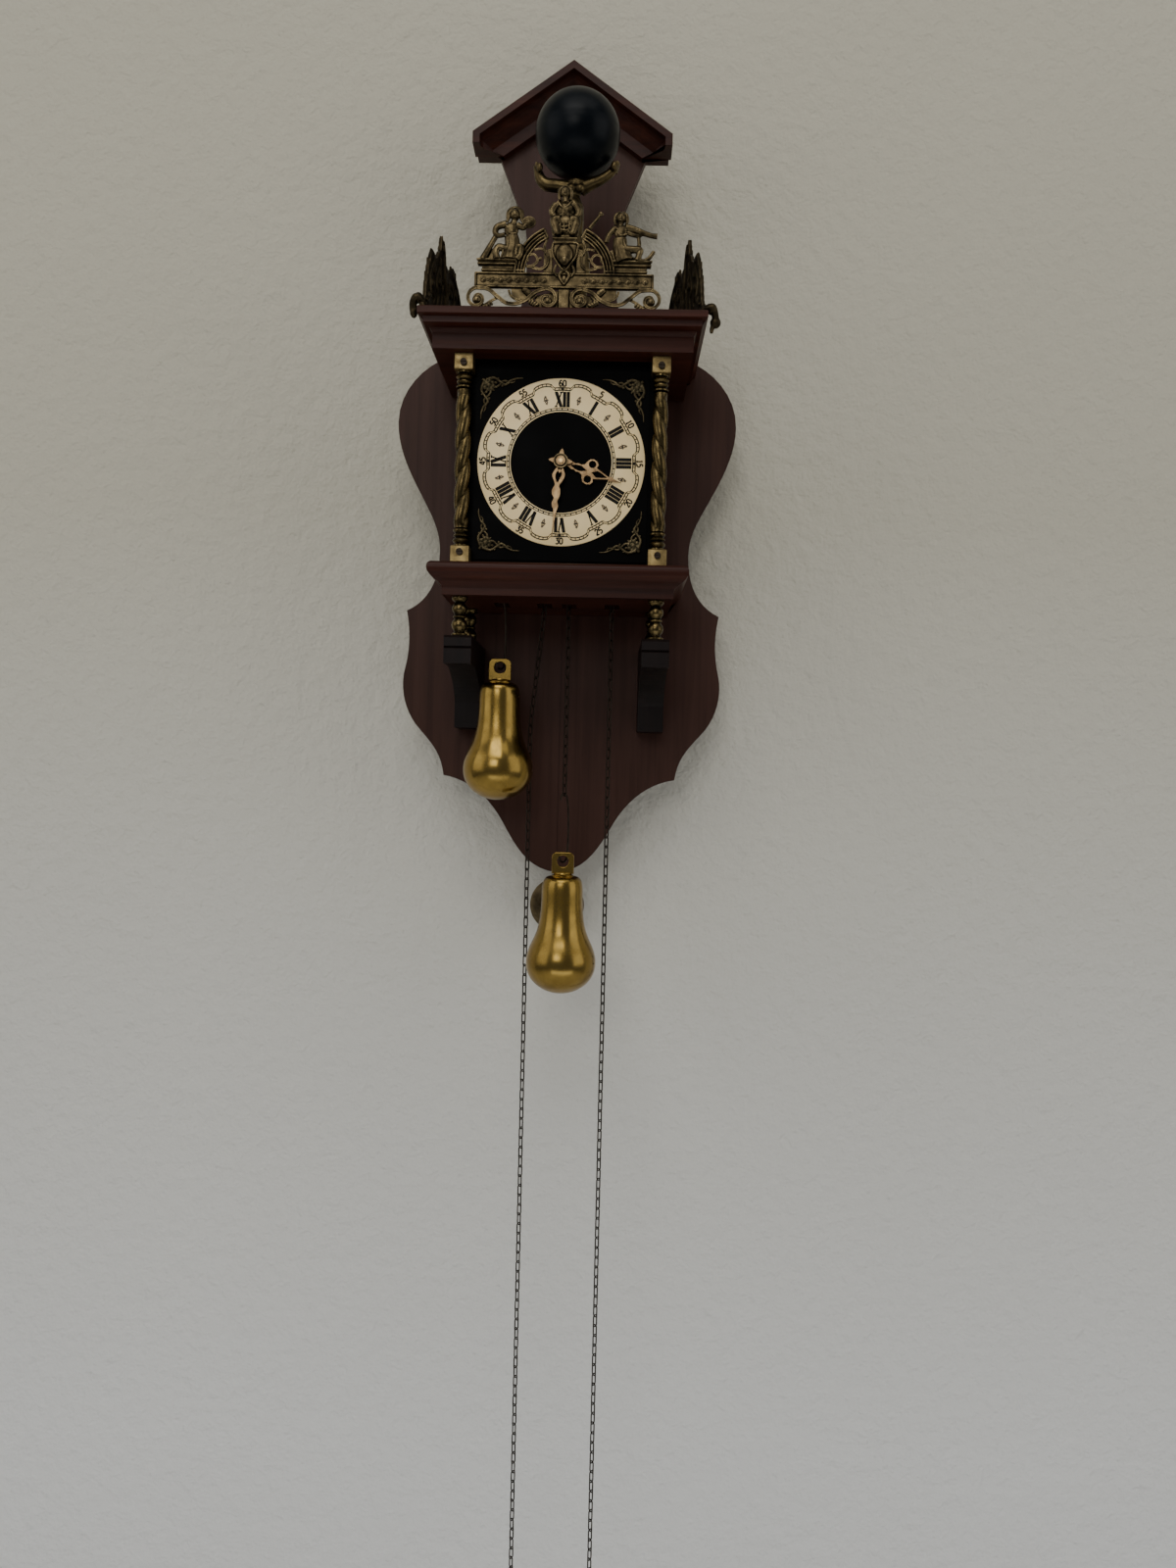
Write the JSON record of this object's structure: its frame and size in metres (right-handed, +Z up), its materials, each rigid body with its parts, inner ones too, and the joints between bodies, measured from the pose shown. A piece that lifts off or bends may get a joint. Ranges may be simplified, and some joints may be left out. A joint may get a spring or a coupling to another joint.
{
  "type": "weight-driven wall clock",
  "caption": "Carved wooden wall clock with brass trim, a gabled backboard, a pillared hood, pear weights on chains and a pendulum behind the board.",
  "frame": {"origin": "middle of the hanging hole, in the wall plane", "axes": "+X to the right seen from the front, +Y into the wall, +Z up"},
  "size_m": [0.292, 0.179, 1.3016],
  "materials": {
    "wood": "satin",
    "dark_wood": "satin",
    "black_paint": "satin",
    "aged_brass": "aged",
    "polished_brass": "polished",
    "movement_brass": "brushed",
    "hand_gilt": "gilt",
    "dial_cream": "satin",
    "globe_lacquer": "gloss",
    "steel": "brushed",
    "chain_steel": "dark"
  },
  "bodies": {
    "case": {"backboard": "wood", "wall_battens": "dark_wood", "hanger_plate": "steel", "gable_moulding": "wood", "hood_top": "wood", "cornice_moulding": "wood", "front_frame": "black_paint", "base_moulding": "wood", "base_board": "wood", "brackets": "dark_wood", "balusters": "aged_brass", "pillars": "aged_brass", "pillar_screws": "aged_brass", "front_ornament": "aged_brass", "atlas_figure": "aged_brass", "globe": "globe_lacquer", "side_frets": "aged_brass", "dial_plate": "black_paint", "chapter_ring": "dial_cream", "spandrels": "aged_brass", "front_plate": "movement_brass", "back_plate": "movement_brass", "plate_pillars": "movement_brass", "suspension_cock": "movement_brass", "suspension_spring": "steel", "bell": "steel"},
    "left_door": {"left_door": "wood"},
    "right_door": {"right_door": "wood"},
    "minute_work": {"minute_hand": "hand_gilt", "hand_nut": "hand_gilt", "cannon_pinion": "movement_brass", "centre_wheel": "movement_brass"},
    "hour_work": {"hour_hand": "hand_gilt", "hour_wheel": "movement_brass"},
    "minute_wheel": {"minute_wheel": "movement_brass"},
    "time_great_wheel": {"time_great_wheel": "movement_brass"},
    "time_sprocket": {"time_sprocket": "steel"},
    "third_wheel": {"third_wheel": "movement_brass"},
    "escape_wheel": {"escape_wheel": "movement_brass"},
    "anchor": {"anchor": "steel", "crutch": "steel"},
    "pendulum": {"pendulum_rod": "steel", "pendulum_bob": "polished_brass"},
    "strike_great_wheel": {"strike_great_wheel": "movement_brass"},
    "strike_sprocket": {"strike_sprocket": "steel"},
    "pin_wheel": {"pin_wheel": "movement_brass"},
    "warning_wheel": {"warning_wheel": "movement_brass"},
    "fly": {"fly": "movement_brass"},
    "hammer": {"hammer": "steel"},
    "time_weight": {"time_weight": "polished_brass", "time_hook": "chain_steel", "time_chain": "chain_steel"},
    "time_free_run": {"time_free_chain": "chain_steel", "time_chain_ring": "polished_brass"},
    "strike_weight": {"strike_weight": "polished_brass", "strike_hook": "chain_steel", "strike_chain": "chain_steel"},
    "strike_free_run": {"strike_free_chain": "chain_steel", "strike_chain_ring": "polished_brass"}
  },
  "joints": [
    {"name": "left_door_swing", "type": "hinge", "parent": "case", "child": "left_door", "pos_m": [-0.0785, -0.05, -0.3], "axis": [0, 0, -1], "range_deg": [0, 85]},
    {"name": "right_door_swing", "type": "hinge", "parent": "case", "child": "right_door", "pos_m": [0.0785, -0.05, -0.3], "axis": [0, 0, 1], "range_deg": [0, 85]},
    {"name": "minute_arbor_turn", "type": "hinge", "parent": "case", "child": "minute_work", "pos_m": [0, -0.095, -0.295], "axis": [0, 1, 0], "continuous": true},
    {"name": "hour_turn", "type": "hinge", "parent": "case", "child": "hour_work", "pos_m": [0, -0.095, -0.295], "axis": [0, 1, 0], "continuous": true},
    {"name": "minute_wheel_turn", "type": "hinge", "parent": "case", "child": "minute_wheel", "pos_m": [0.015, -0.095, -0.295], "axis": [0, 1, 0], "continuous": true},
    {"name": "time_great_turn", "type": "hinge", "parent": "case", "child": "time_great_wheel", "pos_m": [0.025, -0.095, -0.325], "axis": [0, 1, 0], "continuous": true},
    {"name": "third_wheel_turn", "type": "hinge", "parent": "case", "child": "third_wheel", "pos_m": [0.022, -0.095, -0.272], "axis": [0, 1, 0], "continuous": true},
    {"name": "escape_wheel_turn", "type": "hinge", "parent": "case", "child": "escape_wheel", "pos_m": [0, -0.095, -0.262], "axis": [0, 1, 0], "continuous": true},
    {"name": "pin_wheel_turn", "type": "hinge", "parent": "case", "child": "pin_wheel", "pos_m": [-0.038, -0.095, -0.287], "axis": [0, 1, 0], "continuous": true},
    {"name": "strike_great_turn", "type": "hinge", "parent": "case", "child": "strike_great_wheel", "pos_m": [-0.03, -0.095, -0.325], "axis": [0, 1, 0], "continuous": true},
    {"name": "warning_wheel_turn", "type": "hinge", "parent": "case", "child": "warning_wheel", "pos_m": [-0.032, -0.095, -0.262], "axis": [0, 1, 0], "continuous": true},
    {"name": "fly_turn", "type": "hinge", "parent": "case", "child": "fly", "pos_m": [-0.02, -0.095, -0.244], "axis": [0, 1, 0], "continuous": true},
    {"name": "pendulum_swing", "type": "hinge", "parent": "case", "child": "pendulum", "pos_m": [0, -0.018, -0.236], "axis": [0, 1, 0], "range_deg": [-3, 3]},
    {"name": "anchor_rock", "type": "hinge", "parent": "case", "child": "anchor", "pos_m": [0, -0.06, -0.236], "axis": [0, 1, 0], "range_deg": [-3, 3]},
    {"name": "hammer_lift", "type": "hinge", "parent": "case", "child": "hammer", "pos_m": [-0.055, -0.095, -0.262], "axis": [0, -1, 0], "range_deg": [0, 10]},
    {"name": "time_weight_travel", "type": "slide", "parent": "case", "child": "time_weight", "axis": [0, 0, 1], "range_m": [-0.08, 0.05]},
    {"name": "time_free_travel", "type": "slide", "parent": "case", "child": "time_free_run", "axis": [0, 0, 1], "range_m": [-0.05, 0.08]},
    {"name": "time_sprocket_turn", "type": "hinge", "parent": "time_great_wheel", "child": "time_sprocket", "pos_m": [0.025, -0.095, -0.325], "axis": [0, 1, 0], "range_deg": [-262.4, 164.2]},
    {"name": "strike_weight_travel", "type": "slide", "parent": "case", "child": "strike_weight", "axis": [0, 0, 1], "range_m": [-0.04, 0.02]},
    {"name": "strike_free_travel", "type": "slide", "parent": "case", "child": "strike_free_run", "axis": [0, 0, 1], "range_m": [-0.02, 0.04]},
    {"name": "strike_sprocket_turn", "type": "hinge", "parent": "strike_great_wheel", "child": "strike_sprocket", "pos_m": [-0.03, -0.095, -0.325], "axis": [0, 1, 0], "range_deg": [-131.5, 66]}
  ],
  "couplings": [
    {"joint": "third_wheel_turn", "follows": "escape_wheel_turn", "ratio": -0.08},
    {"joint": "minute_arbor_turn", "follows": "escape_wheel_turn", "ratio": 0.010667},
    {"joint": "hour_turn", "follows": "escape_wheel_turn", "ratio": 0.00088889},
    {"joint": "minute_wheel_turn", "follows": "escape_wheel_turn", "ratio": -0.0035556},
    {"joint": "time_great_turn", "follows": "escape_wheel_turn", "ratio": -0.0013333},
    {"joint": "warning_wheel_turn", "follows": "fly_turn", "ratio": -0.125},
    {"joint": "pin_wheel_turn", "follows": "fly_turn", "ratio": 0.0125},
    {"joint": "strike_great_turn", "follows": "fly_turn", "ratio": -0.0014286},
    {"joint": "anchor_rock", "follows": "pendulum_swing", "ratio": 1},
    {"joint": "time_free_travel", "follows": "time_weight_travel", "ratio": -1},
    {"joint": "time_sprocket_turn", "follows": "time_weight_travel", "rad_per_m": 57.143},
    {"joint": "strike_free_travel", "follows": "strike_weight_travel", "ratio": -1},
    {"joint": "strike_sprocket_turn", "follows": "strike_weight_travel", "rad_per_m": 57.143}
  ]
}
